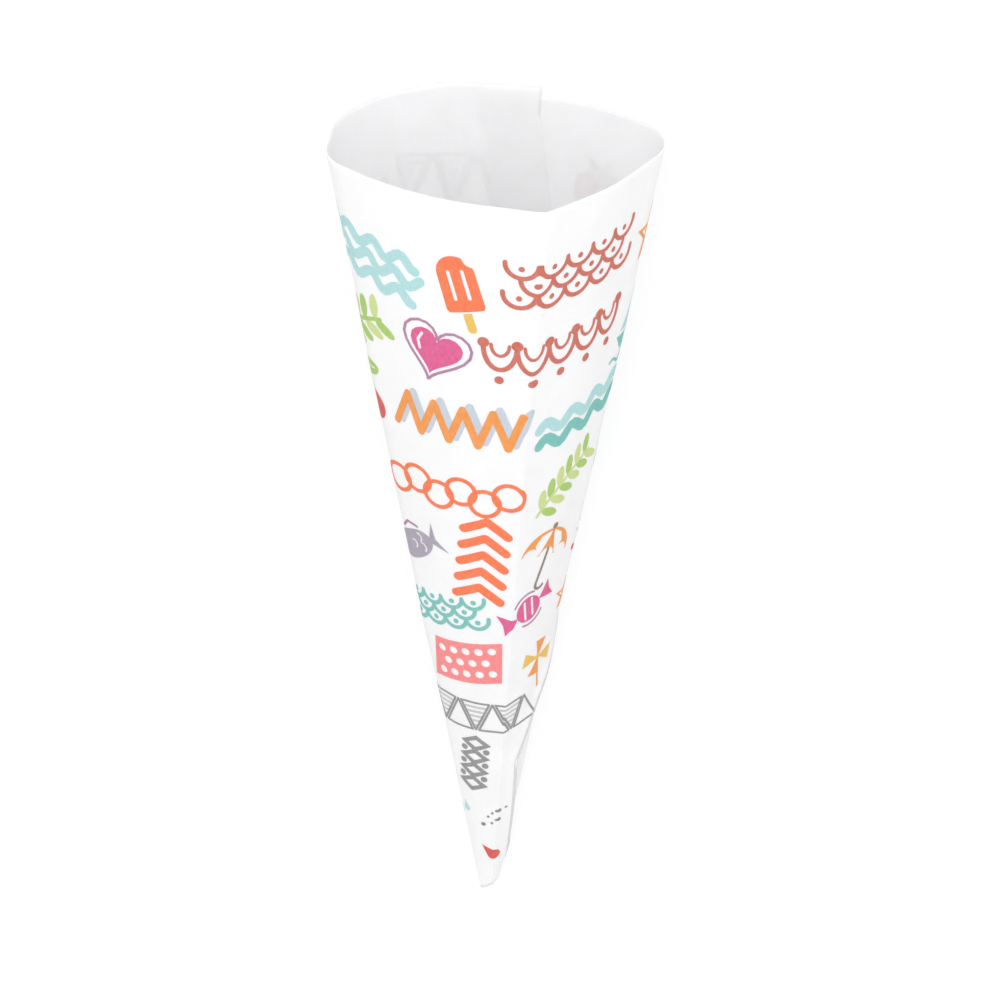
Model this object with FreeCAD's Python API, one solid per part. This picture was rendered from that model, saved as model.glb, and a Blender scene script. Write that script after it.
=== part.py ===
"""Cone paper cup: one sheet rolled into a cone and glued along a slanting lap, lying on its back."""

import FreeCAD, Part
import os
import math
from FreeCAD import Vector

# The cone, in millimetres
mouth_width = 60.4          # left to right across the mouth, over the outline's outermost bends
mouth_depth = 50.8          # front fold to back crease
cone_length = 159.5         # mouth to tip, along the axis
tip_width = 2.6             # width of the small opening left at the tip
paper = 0.2                 # thickness of the sheet
fold_radius = 0.7           # bend of the paper at the sharp front fold
rim_drop = 2.2              # how much lower the outer end of the rim sits than the inner end
tip_slope = 0.9             # rise of the tip's cut per millimetre to the right

# The glued lap, in millimetres, and in degrees round the axis from the front towards the right
seam_azimuth = 160.0        # where the sheet's inner end meets the rim
rim_lap = 12.0              # overlap at the rim
rim_run = 3.0               # last stretch of each slanting edge, which runs straight up to the rim
flap_bow = 5.0              # how far the flap's slanting edge bows out of straight in the flat sheet
inner_bow = 1.0             # the same for the inner end's edge
heel_azimuth = 53.0         # where the flap's slanting edge turns back towards the tip
heel_slant = 38.5           # distance of that corner from the cone's apex
heel_lap = 8.0              # overlap at the heel
heel_blunt = 1.0            # blunt end of the heel
tip_end_azimuth = 164.0     # where the edge below the heel reaches the tip
tip_run = 1.5               # last stretch of that edge, which runs straight down to the tip
resting_azimuth = 175.0     # somewhere on the flat back wall that the cup lies on

# Bends of the mouth's outline, from the front fold towards the right and round the back.
# Each is its place in shares of the half width and half depth, and how much of the walls
# beside it the bend takes up: 0 is a crisp fold, 1 leaves no flat wall beside it.
outline_bends = [
    (0.288, -1.000, 0.00),
    (0.695, -0.567, 0.80),
    (1.125, 0.280, 0.90),
    (0.515, 0.846, 0.60),
    (-0.265, 1.012, 0.30),
    (-0.679, 0.807, 0.60),
    (-0.960, 0.413, 0.90),
    (-1.003, -0.220, 0.60),
    (-0.646, -0.638, 0.80),
    (-0.232, -0.882, 0.80),
]

# Fineness of the curves
curve_spans = 8
flat_angle_chords = 24

apex_height = cone_length / (1 - tip_width / mouth_width)
tip_height = apex_height - cone_length


def corner_bend(before, here, after, share):
    """Arc that rounds one corner of the outline: centre, radius, first angle, turn and ends."""
    run_in = math.dist(before, here)
    run_out = math.dist(here, after)
    in_x, in_y = (here[0] - before[0]) / run_in, (here[1] - before[1]) / run_in
    out_x, out_y = (after[0] - here[0]) / run_out, (after[1] - here[1]) / run_out
    turn = math.atan2(in_x * out_y - in_y * out_x, in_x * out_x + in_y * out_y)
    longest_reach = min(run_in, run_out) / 2
    fold_reach = fold_radius * math.tan(turn / 2)
    reach = min(max(share * longest_reach, fold_reach), longest_reach)
    radius = reach / math.tan(turn / 2)
    start = (here[0] - in_x * reach, here[1] - in_y * reach)
    end = (here[0] + out_x * reach, here[1] + out_y * reach)
    centre = (start[0] - in_y * radius, start[1] + in_x * radius)
    return centre, radius, math.atan2(-in_x, in_y), turn, start, end


def round_outline():
    """The outline's bends, one for each corner."""
    half_width = mouth_width / 2
    half_depth = mouth_depth / 2
    corners = [(x * half_width, y * half_depth) for x, y, _ in outline_bends]
    following = corners[1:] + corners[:1]
    return [
        corner_bend(corners[i - 1], corners[i], following[i], outline_bends[i][2])
        for i in range(len(corners))
    ]


bends = round_outline()
turn_span = 2 * len(bends)  # bends and walls take turns, so a place counts both
front_fold_place = 0.5      # middle of the first bend


def outline_at(place):
    """Point of the mouth's outline and the way out of it. Even stretches bend, odd ones are flat."""
    number = math.floor(place)
    share = place - number
    which, flat = divmod(number % turn_span, 2)
    centre, radius, first, turn, _, end = bends[which]
    if not flat:
        angle = first + share * turn
        out = (math.cos(angle), math.sin(angle))
        return (centre[0] + radius * out[0], centre[1] + radius * out[1]), out
    out = (math.cos(first + turn), math.sin(first + turn))
    after = bends[(which + 1) % len(bends)][4]
    return (end[0] + share * (after[0] - end[0]), end[1] + share * (after[1] - end[1])), out


def wall_ray(place):
    """Unit vector up the wall from the cone's apex, and the wall's outward normal."""
    (x, y), out = outline_at(place)
    along = Vector(x, y, apex_height).normalize()
    across = Vector(-out[1], out[0], 0)
    return along, across.cross(along).normalize()


def unrolled_between(place_a, place_b):
    """Angle at the apex of the unrolled wall between two places of one stretch."""
    step = (place_b - place_a) / flat_angle_chords
    rays = [wall_ray(place_a + step * i)[0] for i in range(flat_angle_chords + 1)]
    return sum(rays[i].getAngle(rays[i + 1]) for i in range(flat_angle_chords))


stretch_angles = [unrolled_between(i, i + 1) for i in range(turn_span)]
full_angle = sum(stretch_angles)


def flat_angle(place):
    """Angle of a place in the unrolled sheet, which goes on rising from turn to turn."""
    turns, within = divmod(math.floor(place), turn_span)
    rest = unrolled_between(math.floor(place), place)
    return turns * full_angle + sum(stretch_angles[:within]) + rest


def azimuth(place):
    """Radians round the axis from the front towards the right."""
    along = wall_ray(place)[0]
    return math.atan2(along.x, -along.y)


def place_where(measure, value, low, high):
    """Place at which a rising measure reaches a value."""
    for _ in range(48):
        middle = (low + high) / 2
        if measure(middle) < value:
            low = middle
        else:
            high = middle
    return (low + high) / 2


def place_at(degrees):
    """Place at an azimuth, on the turn that starts at the front fold."""
    fold_azimuth = azimuth(front_fold_place)

    def past_the_fold(place):
        return (azimuth(place) - fold_azimuth) % math.tau

    wanted = (math.radians(degrees) - fold_azimuth) % math.tau
    return place_where(past_the_fold, wanted, front_fold_place, front_fold_place + turn_span)


def place_unrolled(angle, near):
    """Place at a flat angle, within a turn of another place."""
    return place_where(flat_angle, angle, near - turn_span, near + turn_span)


# Where the sheet's free edges meet the rim, where they turn, and where the flap's meets the tip
inner_rim_place = place_at(seam_azimuth)
outer_heel_place = place_at(heel_azimuth)
tip_end_place = place_at(tip_end_azimuth)
outer_rim_place = place_unrolled(flat_angle(inner_rim_place) + rim_lap / apex_height, inner_rim_place)
inner_heel_place = place_unrolled(flat_angle(outer_heel_place) - heel_lap / heel_slant, outer_heel_place)


def bent_through(place):
    """Radians that the bends before a place add up to, which go on rising from turn to turn."""
    number = math.floor(place)
    turns, within = divmod(number, turn_span)
    which, flat = divmod(within, 2)
    share = 1 if flat else place - number
    return math.tau * turns + sum(bend[3] for bend in bends[:which]) + share * bends[which][3]


def inner_offset(place):
    """The sheet's inner face moves out in its bends, by its own thickness in each turn."""
    return paper * (bent_through(place) - bent_through(inner_heel_place)) / math.tau


def outer_offset(place):
    """The sheet's outer face."""
    return inner_offset(place) + paper


def flap_offset(place):
    """Outer face of a second layer on top of this one."""
    return outer_offset(place) + paper


def rim_slant(place):
    """Slant distance of the rim, which falls steadily from the inner end to the outer one."""
    turned = (flat_angle(place) - flat_angle(inner_rim_place)) / full_angle
    return (apex_height - rim_drop * turned) / wall_ray(place)[0].z


def next_rim_slant(place):
    """Rim of the layer one turn further out."""
    return rim_slant(place + turn_span)


def tip_cut_slant(place):
    """Slant distance of the oblique cut that leaves the tip open."""
    along = wall_ray(place)[0]
    return tip_height / (along.z - tip_slope * along.x)


def flat_point(place, slant):
    """Point of the unrolled sheet, from the apex, with the front fold along its first axis."""
    angle = flat_angle(place)
    return slant * math.cos(angle), slant * math.sin(angle)


def free_edge(low_end, high_end, bow):
    """Slant distance, at each place, of an edge bowed between two points of the flat sheet."""
    run_x, run_y = high_end[0] - low_end[0], high_end[1] - low_end[1]
    run = math.hypot(run_x, run_y)

    def edge_point(share):
        out = 4 * bow * share * (1 - share) / run
        return (
            low_end[0] + share * run_x + out * run_y,
            low_end[1] + share * run_y - out * run_x,
        )

    def edge_angle(share):
        x, y = edge_point(share)
        return math.atan2(y, x)

    rising = 1 if edge_angle(1) > edge_angle(0) else -1

    def slant(place):
        share = place_where(lambda t: rising * edge_angle(t), rising * flat_angle(place), 0, 1)
        return math.hypot(*edge_point(share))

    return slant


inner_edge_slant = free_edge(
    flat_point(inner_heel_place, heel_slant),
    flat_point(inner_rim_place, next_rim_slant(inner_rim_place) - rim_run),
    inner_bow,
)
upper_edge_slant = free_edge(
    flat_point(outer_heel_place, heel_slant + heel_blunt / 2),
    flat_point(outer_rim_place, next_rim_slant(outer_rim_place) - rim_run),
    flap_bow,
)
lower_edge_slant = free_edge(
    flat_point(tip_end_place, tip_cut_slant(tip_end_place) + tip_run),
    flat_point(outer_heel_place, heel_slant - heel_blunt / 2),
    0,
)


def point(place, slant, offset):
    """Point of the wall at a place, a slant distance from the apex and an offset outwards."""
    along, outward = wall_ray(place)
    return along * slant + outward * offset


def curve(place_a, place_b, slant, offset):
    """Edge along the wall between two places, at a slant and an offset that vary with the place."""
    places = [place_a + (place_b - place_a) * i / curve_spans for i in range(curve_spans + 1)]
    spline = Part.BSplineCurve()
    spline.interpolate(
        Points=[point(p, slant(p), offset(p)) for p in places],
        Parameters=[i / curve_spans for i in range(curve_spans + 1)],
    )
    return spline.toShape()


edge_ends = (inner_heel_place, outer_heel_place, tip_end_place, inner_rim_place, outer_rim_place)
free_edge_places = [place + turn * turn_span for place in edge_ends for turn in (-1, 0, 1)]


def band(first, last, low, high):
    """Faces between a lower and an upper (slant, offset) line, split where the outline changes."""
    breaks = [p for p in free_edge_places if first < p < last]
    breaks += [p for p in range(math.ceil(first), math.ceil(last)) if p > first]
    breaks = sorted(breaks + [first, last])
    return [
        Part.makeRuledSurface(curve(a, b, *low), curve(a, b, *high))
        for a, b in zip(breaks, breaks[1:])
    ]


def cut_face(place, slant_low, slant_high, offset_low, offset_high):
    """Narrow face of the sheet's thickness, along a straight free edge."""
    corners = [
        point(place, slant_low, offset_low),
        point(place, slant_high, offset_low),
        point(place, slant_high, offset_high),
        point(place, slant_low, offset_high),
    ]
    return Part.Face(Part.makePolygon(corners + corners[:1]))


def one_turn_back(slant):
    """The same slant for the layer one turn further out."""
    return lambda place: slant(place - turn_span)


def outer_skin():
    """Everything that shows from outside: the layer under the flap, the wall and the flap."""
    faces = band(
        outer_heel_place, tip_end_place,
        (lower_edge_slant, outer_offset), (upper_edge_slant, outer_offset),
    )
    faces += band(
        tip_end_place, outer_rim_place,
        (tip_cut_slant, outer_offset), (upper_edge_slant, outer_offset),
    )
    faces += band(
        inner_rim_place, outer_rim_place,
        (next_rim_slant, outer_offset), (rim_slant, outer_offset),
    )
    faces += band(
        outer_rim_place, outer_heel_place + turn_span,
        (tip_cut_slant, outer_offset), (rim_slant, outer_offset),
    )
    faces += band(
        outer_heel_place + turn_span, tip_end_place + turn_span,
        (tip_cut_slant, outer_offset), (one_turn_back(lower_edge_slant), outer_offset),
    )
    faces += band(
        outer_heel_place + turn_span, outer_rim_place + turn_span,
        (one_turn_back(upper_edge_slant), outer_offset), (rim_slant, outer_offset),
    )
    return faces


def inner_skin():
    """Everything that shows in the mouth: the inner end, the wall, and the wall beside that end."""
    faces = band(
        inner_heel_place, inner_rim_place,
        (tip_cut_slant, inner_offset), (inner_edge_slant, inner_offset),
    )
    faces += band(
        inner_rim_place, inner_heel_place + turn_span,
        (tip_cut_slant, inner_offset), (rim_slant, inner_offset),
    )
    faces += band(
        inner_heel_place + turn_span, inner_rim_place + turn_span,
        (one_turn_back(inner_edge_slant), inner_offset), (rim_slant, inner_offset),
    )
    return faces


def rim_and_tip():
    """The sheet's thickness at the rim, and at the tip, where the flap lies on the inner end."""
    faces = band(
        inner_rim_place, outer_rim_place + turn_span,
        (rim_slant, inner_offset), (rim_slant, outer_offset),
    )
    faces += band(
        inner_heel_place, inner_heel_place + turn_span,
        (tip_cut_slant, inner_offset), (tip_cut_slant, outer_offset),
    )
    faces += band(
        inner_heel_place, tip_end_place,
        (tip_cut_slant, outer_offset), (tip_cut_slant, flap_offset),
    )
    return faces


def flap_edges():
    """The sheet's thickness along the flap's free edge, above and below its heel."""
    faces = band(
        outer_heel_place, outer_rim_place,
        (upper_edge_slant, outer_offset), (upper_edge_slant, flap_offset),
    )
    faces += band(
        outer_heel_place, tip_end_place,
        (lower_edge_slant, outer_offset), (lower_edge_slant, flap_offset),
    )
    straight_runs = [
        (outer_rim_place, upper_edge_slant, next_rim_slant),
        (outer_heel_place, lower_edge_slant, upper_edge_slant),
        (tip_end_place, tip_cut_slant, lower_edge_slant),
    ]
    faces += [
        cut_face(place, low(place), high(place), outer_offset(place), flap_offset(place))
        for place, low, high in straight_runs
    ]
    return faces


def inner_end_edges():
    """The sheet's thickness along its inner end, which shows in the mouth."""
    faces = band(
        inner_heel_place, inner_rim_place,
        (inner_edge_slant, inner_offset), (inner_edge_slant, outer_offset),
    )
    straight_runs = [
        (inner_rim_place, inner_edge_slant, rim_slant),
        (inner_heel_place, tip_cut_slant, inner_edge_slant),
    ]
    faces += [
        cut_face(place, low(place), high(place), inner_offset(place), outer_offset(place))
        for place, low, high in straight_runs
    ]
    return faces


def rolled_sheet():
    """The cone as one closed solid, upright on its apex with the front fold towards -Y."""
    skin = Part.Compound(outer_skin() + inner_skin() + rim_and_tip() + flap_edges() + inner_end_edges())
    skin.sewShape()
    return Part.Solid(skin.Shells[0])


def laid_on_its_back(solid):
    """The cup as it comes to rest: its flat back wall on the ground, its mouth towards +Y."""
    down = wall_ray(place_at(resting_azimuth))[1]
    up = down * -1
    mouth_way = (Vector(0, 0, 1) - down * down.z).normalize()
    right = mouth_way.cross(up)
    solid.Placement = FreeCAD.Placement(FreeCAD.Matrix(
        right.x, right.y, right.z, 0,
        mouth_way.x, mouth_way.y, mouth_way.z, 0,
        up.x, up.y, up.z, 0,
        0, 0, 0, 1,
    ))
    box = solid.BoundBox
    solid.translate(Vector(-box.Center.x, -box.Center.y, -box.ZMin))
    return solid


os.makedirs("parts", exist_ok=True)
laid_on_its_back(rolled_sheet()).exportStep("parts/paper_cone.step")
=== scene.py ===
"""Looks of the cone paper cup: rolled sheet, printed decor, floor, light and camera."""

import math
import random

import bpy
import numpy as np
from mathutils import Matrix, Vector
from mathutils.geometry import delaunay_2d_cdt


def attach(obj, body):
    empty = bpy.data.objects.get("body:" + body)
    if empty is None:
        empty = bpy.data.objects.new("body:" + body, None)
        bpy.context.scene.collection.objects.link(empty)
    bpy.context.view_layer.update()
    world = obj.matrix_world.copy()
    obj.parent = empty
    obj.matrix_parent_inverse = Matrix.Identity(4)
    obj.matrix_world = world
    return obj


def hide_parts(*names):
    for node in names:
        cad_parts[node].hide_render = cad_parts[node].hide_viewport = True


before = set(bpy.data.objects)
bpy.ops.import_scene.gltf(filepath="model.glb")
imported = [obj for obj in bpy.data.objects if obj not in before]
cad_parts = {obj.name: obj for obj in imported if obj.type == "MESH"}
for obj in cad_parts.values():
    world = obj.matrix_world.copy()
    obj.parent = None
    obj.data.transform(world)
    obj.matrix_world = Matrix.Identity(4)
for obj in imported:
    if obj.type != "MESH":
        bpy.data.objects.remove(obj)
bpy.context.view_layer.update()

MM = 0.001

# The cone, in millimetres, as in the part's source
MOUTH_WIDTH = 60.4
MOUTH_DEPTH = 50.8
CONE_LENGTH = 159.5
TIP_WIDTH = 2.6
PAPER = 0.2
FOLD_RADIUS = 0.7
RIM_DROP = 2.2
TIP_SLOPE = 0.9
SEAM_AZIMUTH = 160.0
RIM_LAP = 12.0
RIM_RUN = 3.0
FLAP_BOW = 5.0
INNER_BOW = 1.0
HEEL_AZIMUTH = 53.0
HEEL_SLANT = 38.5
HEEL_LAP = 8.0
HEEL_BLUNT = 1.0
TIP_END_AZIMUTH = 164.0
TIP_RUN = 1.5
RESTING_AZIMUTH = 175.0

OUTLINE = [
    (0.288, -1.000, 0.00),
    (0.695, -0.567, 0.80),
    (1.125, 0.280, 0.90),
    (0.515, 0.846, 0.60),
    (-0.265, 1.012, 0.30),
    (-0.679, 0.807, 0.60),
    (-0.960, 0.413, 0.90),
    (-1.003, -0.220, 0.60),
    (-0.646, -0.638, 0.80),
    (-0.232, -0.882, 0.80),
]

APEX_HEIGHT = CONE_LENGTH / (1 - TIP_WIDTH / MOUTH_WIDTH)
TIP_HEIGHT = APEX_HEIGHT - CONE_LENGTH
TAU = 2 * math.pi


# The mouth's outline, as bends and flat walls that take turns

def corner_bend(before, here, after, share):
    run_in, run_out = math.dist(before, here), math.dist(here, after)
    ix, iy = (here[0] - before[0]) / run_in, (here[1] - before[1]) / run_in
    ox, oy = (after[0] - here[0]) / run_out, (after[1] - here[1]) / run_out
    turn = math.atan2(ix * oy - iy * ox, ix * ox + iy * oy)
    longest = min(run_in, run_out) / 2
    reach = min(max(share * longest, FOLD_RADIUS * math.tan(turn / 2)), longest)
    radius = reach / math.tan(turn / 2)
    start = (here[0] - ix * reach, here[1] - iy * reach)
    end = (here[0] + ox * reach, here[1] + oy * reach)
    return (start[0] - iy * radius, start[1] + ix * radius, radius, math.atan2(-ix, iy), turn, *start, *end)


corners = [(x * MOUTH_WIDTH / 2, y * MOUTH_DEPTH / 2) for x, y, _ in OUTLINE]
bends = np.array([
    corner_bend(corners[i - 1], corners[i], corners[(i + 1) % len(corners)], OUTLINE[i][2])
    for i in range(len(corners))
])
TURN = 2 * len(corners)
FOLD = 0.5 + TURN      # the front fold, on the sheet's outer turn


def split_place(places):
    number = np.floor(places)
    within = np.mod(number, TURN).astype(int)
    return number, places - number, within // 2, within % 2 == 1


def rays(places):
    """Unit vectors up the wall and outward normals at places, one row each."""
    places = np.atleast_1d(np.asarray(places, float))
    _, share, which, flat = split_place(places)
    b = bends[which]
    after = bends[(which + 1) % len(bends)]
    angle = b[:, 3] + np.where(flat, 1.0, share) * b[:, 4]
    out = np.stack([np.cos(angle), np.sin(angle)], 1)
    bent = b[:, 0:2] + b[:, 2:3] * out
    straight = b[:, 7:9] + share[:, None] * (after[:, 5:7] - b[:, 7:9])
    xy = np.where(flat[:, None], straight, bent)
    along = np.column_stack([xy, np.full(len(places), APEX_HEIGHT)])
    along /= np.linalg.norm(along, axis=1, keepdims=True)
    across = np.column_stack([-out[:, 1], out[:, 0], np.zeros(len(places))])
    outward = np.cross(across, along)
    return along, outward / np.linalg.norm(outward, axis=1, keepdims=True)


table_places = np.linspace(-TURN, 3 * TURN, 32001)
table_rays = rays(table_places)[0]
steps = 2 * np.arcsin(np.linalg.norm(np.diff(table_rays, axis=0), axis=1) / 2)
table_angles = np.concatenate([[0], np.cumsum(steps)])
table_angles -= np.interp(FOLD, table_places, table_angles)
FULL = np.interp(FOLD + TURN, table_places, table_angles)


def flat_of(places):
    """Angle in the unrolled sheet, 0 at the front fold and rising to the right."""
    return np.interp(places, table_places, table_angles)


def place_of(angles):
    return np.interp(angles, table_angles, table_places)


def place_at(degrees):
    """Place at an azimuth on the first turn after the fold."""
    places = np.linspace(0.5, 0.5 + TURN, 40001)
    along = rays(places)[0]
    azimuth = np.unwrap(np.arctan2(along[:, 0], -along[:, 1]))
    wanted = math.radians(degrees)
    wanted += TAU * math.ceil((azimuth[0] - wanted) / TAU)
    return float(np.interp(wanted, azimuth, places))


inner_rim = place_at(SEAM_AZIMUTH)
outer_heel = place_at(HEEL_AZIMUTH)
tip_end = place_at(TIP_END_AZIMUTH)
outer_rim = float(place_of(flat_of(inner_rim) + RIM_LAP / APEX_HEIGHT))
inner_heel = float(place_of(flat_of(outer_heel) - HEEL_LAP / HEEL_SLANT))

turned_before = np.concatenate([[0], np.cumsum(bends[:, 4])])


def bent_through(places):
    number, share, which, flat = split_place(np.asarray(places, float))
    part = np.where(flat, 1.0, share) * bends[which, 4]
    return TAU * np.floor_divide(number, TURN) + turned_before[which] + part


def inner_offset(places):
    return PAPER * (bent_through(places) - bent_through(inner_heel)) / TAU


def rim_slant(places):
    turned = (flat_of(places) - flat_of(inner_rim)) / FULL
    return (APEX_HEIGHT - RIM_DROP * turned) / rays(places)[0][:, 2]


def tip_slant(places):
    along = rays(places)[0]
    return TIP_HEIGHT / (along[:, 2] - TIP_SLOPE * along[:, 0])


def flat_point(place, slant):
    angle = float(flat_of(place))
    return np.array([slant * math.cos(angle), slant * math.sin(angle)])


def one(values):
    return float(np.atleast_1d(values)[0])


def edge_line(low, high, bow):
    """Points of a bowed edge in the flat sheet."""
    run = high - low
    share = np.linspace(0, 1, 300)[:, None]
    side = np.array([run[1], -run[0]]) / np.linalg.norm(run)
    return low + share * run + 4 * bow * share * (1 - share) * side


def edge_slant(line):
    """Slant distance of such an edge as a function of the place."""
    angles = np.arctan2(line[:, 1], line[:, 0])
    order = np.argsort(angles)
    return lambda places: np.interp(flat_of(places), angles[order], np.hypot(*line.T)[order])


inner_line = edge_line(
    flat_point(inner_heel, HEEL_SLANT),
    flat_point(inner_rim, one(rim_slant(inner_rim + TURN)) - RIM_RUN), INNER_BOW)
upper_line = edge_line(
    flat_point(outer_heel + TURN, HEEL_SLANT + HEEL_BLUNT / 2),
    flat_point(outer_rim + TURN, one(rim_slant(outer_rim + TURN)) - RIM_RUN), FLAP_BOW)
lower_line = edge_line(
    flat_point(tip_end + TURN, one(tip_slant(tip_end)) + TIP_RUN),
    flat_point(outer_heel + TURN, HEEL_SLANT - HEEL_BLUNT / 2), 0)
inner_edge, upper_edge, lower_edge = edge_slant(inner_line), edge_slant(upper_line), edge_slant(lower_line)
flap_line = np.vstack([lower_line, upper_line])
inner_cut = np.vstack([inner_line, [flat_point(inner_rim, s) for s in np.linspace(
    one(rim_slant(inner_rim + TURN)) - RIM_RUN, one(rim_slant(inner_rim)), 12)]])


def flat_points(slants, angles):
    """Points of the flat sheet, one row each."""
    return np.column_stack([slants * np.cos(angles), slants * np.sin(angles)])


def distance_to(line, points):
    """Shortest distance from flat points to a line."""
    best = np.full(len(points), 1e9)
    for p in line[::3]:
        best = np.minimum(best, np.hypot(points[:, 0] - p[0], points[:, 1] - p[1]))
    return best


# The frame's axes: the cup lies on its flat back wall
down = rays(place_at(RESTING_AZIMUTH))[1][0]
up = -down
mouth_way = np.array([0, 0, 1]) - down * down[2]
mouth_way /= np.linalg.norm(mouth_way)
right = np.cross(mouth_way, up)
LYING = np.array([right, mouth_way, up])

WAVES = [
    (0.11, (0.13, 0.05, 0.045), 0.4), (0.09, (-0.08, 0.16, 0.06), 1.7), (0.07, (0.17, 0.12, -0.08), 2.9),
    (0.045, (0.26, -0.19, 0.13), 4.1), (0.035, (-0.33, 0.21, 0.17), 5.3), (0.02, (0.48, 0.41, 0.29), 0.9),
    (0.014, (-0.71, 0.52, 0.43), 3.3), (0.010, (0.93, -0.77, 0.61), 2.2),
]


# How the paper departs from the true cone, in millimetres
FLAP_LIFT = 0.55                                # how far the flap's free edge stands off
LIFT_SWELLS = [(0.15, 66, 24), (0.20, 31, 9)]   # how much more, at which slant distance, how wide
LIFT_REACH, LIFT_FALL = 1.7, 1.6
SLOT_DEPTH, SLOT_REACH = 0.35, 1.3              # how the layer under that edge is pressed in
PRESSED, PRESSED_REACH = 0.178, 4.0             # how thin the sheet is rubbed beside its inner end
PRESSED_PAST = 0.6
LAP_GAP = 0.015                                 # keeps the faces of the lap's two layers apart
TIP_FADE, BOW_FADE = (6, 16), (4, 60)           # slant distances over which lift and buckles grow
LIFT_GROUND, BOW_GROUND = (0.75, 0.96), (0.90, 0.985)   # how squarely facing the ground stops them


def smooth(x, a, b):
    t = np.clip((x - a) / (b - a), 0, 1)
    return t * t * (3 - 2 * t)


def buckle(places, slants):
    """How far the hand-rolled paper bows out of the true cone, none where it lies on the ground."""
    along, outward = rays(places)
    at = along * slants[:, None]
    bow = sum(a * np.sin(at @ np.array(k) + f) for a, k, f in WAVES)
    free = 1 - smooth(outward @ down, *BOW_GROUND)
    return bow * free * smooth(slants, *BOW_FADE)


def lift(places, slants):
    """How far the flap's free edge stands off, and how far the layer under it is pressed in."""
    angles = flat_of(places)
    free = 1 - smooth(rays(places)[1] @ down, *LIFT_GROUND)
    fade = smooth(slants, *TIP_FADE)
    reach = FLAP_LIFT
    for more, at, wide in LIFT_SWELLS:
        reach = reach + more * np.exp(-((slants - at) / wide) ** 2)
    beside = distance_to(flap_line, flat_points(slants, angles))
    outer = (places > FOLD - 3) * (reach * fade) * np.exp(-(beside / LIFT_REACH) ** LIFT_FALL) * free
    above = distance_to(flap_line, flat_points(slants, angles + FULL))
    slot = (places < outer_rim) * SLOT_DEPTH * np.exp(-(above / SLOT_REACH) ** 2) * free * fade
    return outer - slot


def pressed(places, slants):
    """How much thinner the sheet is beside its inner end, which is rubbed flat."""
    beside = distance_to(inner_cut, flat_points(slants, flat_of(places)))
    return (places < inner_rim + PRESSED_PAST) * PRESSED * np.exp(-(beside / PRESSED_REACH) ** 2)


def in_cone(places, slants, offsets):
    along, outward = rays(places)
    return along * slants[:, None] + outward * offsets[:, None]


def outer_face(places, slants, proud=0.0):
    """Points in millimetres on the printed face."""
    offsets = inner_offset(places) + PAPER + buckle(places, slants) + lift(places, slants) + proud
    return in_cone(places, slants, offsets) @ LYING.T


def inner_face(places, slants):
    offsets = inner_offset(places) + LAP_GAP + buckle(places, slants) + lift(places, slants)
    return in_cone(places, slants, offsets + pressed(places, slants)) @ LYING.T


def plain_edge(places, slants):
    """Points on the printed face of the plain cone, without buckles or lift."""
    return in_cone(places, slants, inner_offset(places) + PAPER) @ LYING.T


# The frame's origin: the plain cone's box is the box of the part's source
probe = np.linspace(inner_rim, outer_rim + TURN, 2400)
tip_probe = np.linspace(outer_rim, tip_end + TURN, 1200)
plain_cone = np.vstack([
    plain_edge(probe, rim_slant(probe)), plain_edge(probe, tip_slant(probe)),
    plain_edge(tip_probe, tip_slant(tip_probe))])
cone_low, cone_high = plain_cone.min(0), plain_cone.max(0)
SHIFT = -np.array([(cone_low[0] + cone_high[0]) / 2, (cone_low[1] + cone_high[1]) / 2, cone_low[2]])


def metres(points):
    return (points + SHIFT) * MM


# The sheet's mesh
CELL = 0.95         # size of its cells along the wall
BEND_STEP = 7       # degrees that a column turns in a bend, at most


def columns(a, b):
    """Places between two, one column of the mesh each, closer in the bends."""
    breaks = sorted({a, b, *(float(k) for k in range(math.ceil(a), math.ceil(b)) if a < k < b)})
    found = [a]
    for low, high in zip(breaks, breaks[1:]):
        arc = (flat_of(high) - flat_of(low)) * APEX_HEIGHT
        turn = float(bent_through(high - 1e-9) - bent_through(low))
        count = max(math.ceil(arc / CELL), math.ceil(math.degrees(turn) / BEND_STEP), 1)
        found += [low + (high - low) * (i + 1) / count for i in range(count)]
    return found


heel_place, tip_place, last_place = outer_heel + TURN, tip_end + TURN, outer_rim + TURN


def share_of(slant, place):
    low, high = one(tip_slant(place)), one(rim_slant(place))
    return (slant - low) / (high - low)


share_low = share_of(HEEL_SLANT - HEEL_BLUNT / 2, heel_place)
share_high = share_of(HEEL_SLANT + HEEL_BLUNT / 2, heel_place)
share_rim = share_of(one(inner_edge(inner_rim)), inner_rim)


def spread(a, b):
    count = max(1, round((b - a) * CONE_LENGTH / CELL))
    return [a + (b - a) * i / count for i in range(count)]


rows = np.array(spread(0, share_low) + spread(share_low, share_high) + spread(share_high, share_rim)
                + spread(share_rim, 1) + [1.0])
row_low = int(np.argmin(abs(rows - share_low)))
row_high = int(np.argmin(abs(rows - share_high)))
row_rim = int(np.argmin(abs(rows - share_rim)))

first_cols = columns(inner_heel, inner_rim)
middle_cols = columns(inner_rim, heel_place)
upper_cols = columns(heel_place, last_place)
lower_cols = columns(heel_place, tip_place)

ids, v_place, v_slant, quads = {}, [], [], []


def vertex(zone, place, row, slant):
    key = (zone, round(place, 7), row)
    if key not in ids:
        ids[key] = len(ids)
        v_place.append(place)
        v_slant.append(slant)
    return ids[key]


def patch(cols, row_range, slants_of, zone):
    grid = []
    low_rows = list(row_range)
    for p in cols:
        values = slants_of(p, rows[low_rows])
        zone_here = "sheet" if abs(p - heel_place) < 1e-9 else zone
        grid.append([vertex(zone_here, p, k, s) for k, s in zip(low_rows, values)])
    for a, b in zip(grid, grid[1:]):
        for i in range(len(a) - 1):
            quads.append((a[i], b[i], b[i + 1], a[i + 1]))


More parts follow.
